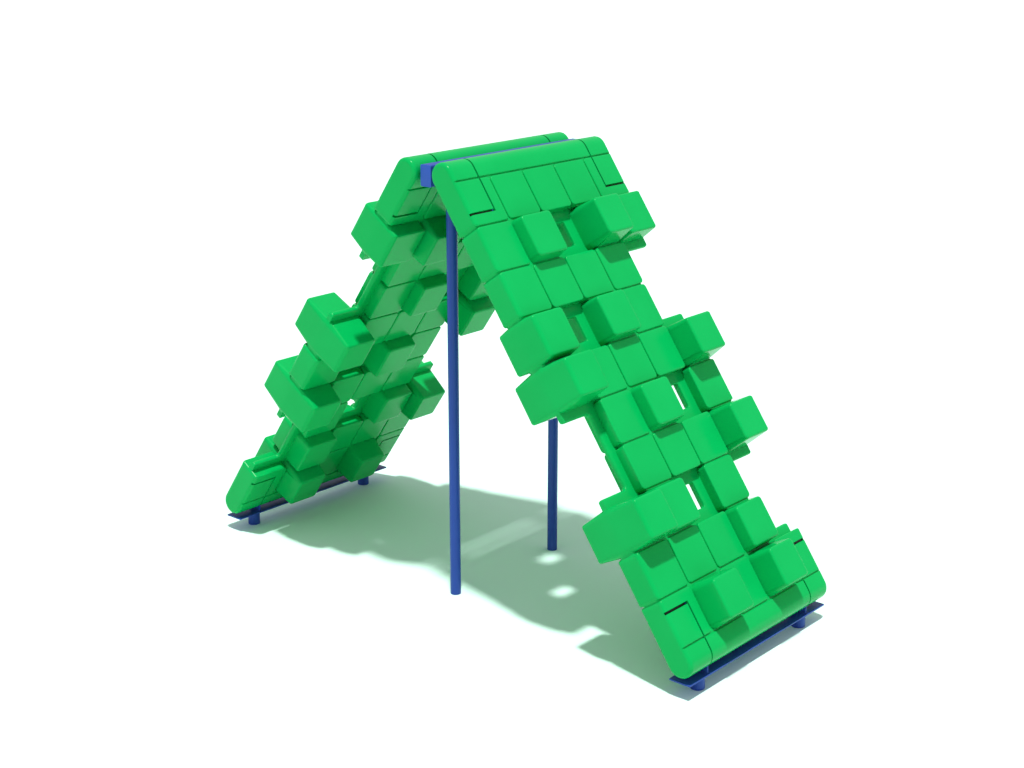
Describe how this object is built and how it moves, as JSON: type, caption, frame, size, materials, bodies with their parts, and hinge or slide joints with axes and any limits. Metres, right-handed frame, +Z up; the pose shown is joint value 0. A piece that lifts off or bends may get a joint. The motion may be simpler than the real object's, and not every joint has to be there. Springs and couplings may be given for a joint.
{
  "type": "rock climbing wall",
  "caption": "Freestanding double-sided climbing wall: two leaning moulded panels with raised blocks, hand holes and side notches, joined by a steel ridge beam on posts",
  "frame": {"origin": "on the ground under the middle of the ridge, which is also the centre of the bounding box's base", "axes": "+Z up; +X runs across the wall from the left foot to the right foot; +Y runs along the ridge, from the near end to the far end"},
  "size_m": [2.9232, 1.0445, 2.0126],
  "materials": {
    "green_polyethylene": "rotationally moulded polyethylene, satin",
    "blue_painted_steel": "powder coated, satin",
    "blue_cap_plastic": "moulded tube cap, satin",
    "black_coated_steel": "black powder coat, matt",
    "zinc_plated_steel": "bright zinc plate"
  },
  "bodies": {
    "root": {"beam_cap_far": "blue_cap_plastic", "beam_cap_near": "blue_cap_plastic", "climbing_panel_left": "green_polyethylene", "climbing_panel_right": "green_polyethylene", "flange_bolt_1": "zinc_plated_steel", "flange_bolt_2": "zinc_plated_steel", "flange_bolt_3": "zinc_plated_steel", "flange_bolt_4": "zinc_plated_steel", "foot_key_left_far": "black_coated_steel", "foot_key_left_near": "black_coated_steel", "foot_key_right_far": "black_coated_steel", "foot_key_right_near": "black_coated_steel", "foot_plate_left": "blue_painted_steel", "foot_plate_right": "blue_painted_steel", "foot_tab_left_far": "blue_painted_steel", "foot_tab_left_near": "blue_painted_steel", "foot_tab_right_far": "blue_painted_steel", "foot_tab_right_near": "blue_painted_steel", "post_flange_far": "blue_painted_steel", "post_flange_near": "blue_painted_steel", "ridge_beam": "blue_painted_steel", "ridge_key_left_far": "black_coated_steel", "ridge_key_left_near": "black_coated_steel", "ridge_key_right_far": "black_coated_steel", "ridge_key_right_near": "black_coated_steel", "ridge_tab_left_far": "blue_painted_steel", "ridge_tab_left_near": "blue_painted_steel", "ridge_tab_right_far": "blue_painted_steel", "ridge_tab_right_near": "blue_painted_steel", "stub_post_left_far": "blue_painted_steel", "stub_post_left_near": "blue_painted_steel", "stub_post_right_far": "blue_painted_steel", "stub_post_right_near": "blue_painted_steel", "support_post_far": "blue_painted_steel", "support_post_near": "blue_painted_steel", "weld_nut_1": "zinc_plated_steel", "weld_nut_2": "zinc_plated_steel", "weld_nut_3": "zinc_plated_steel", "weld_nut_4": "zinc_plated_steel"}
  },
  "joints": []
}
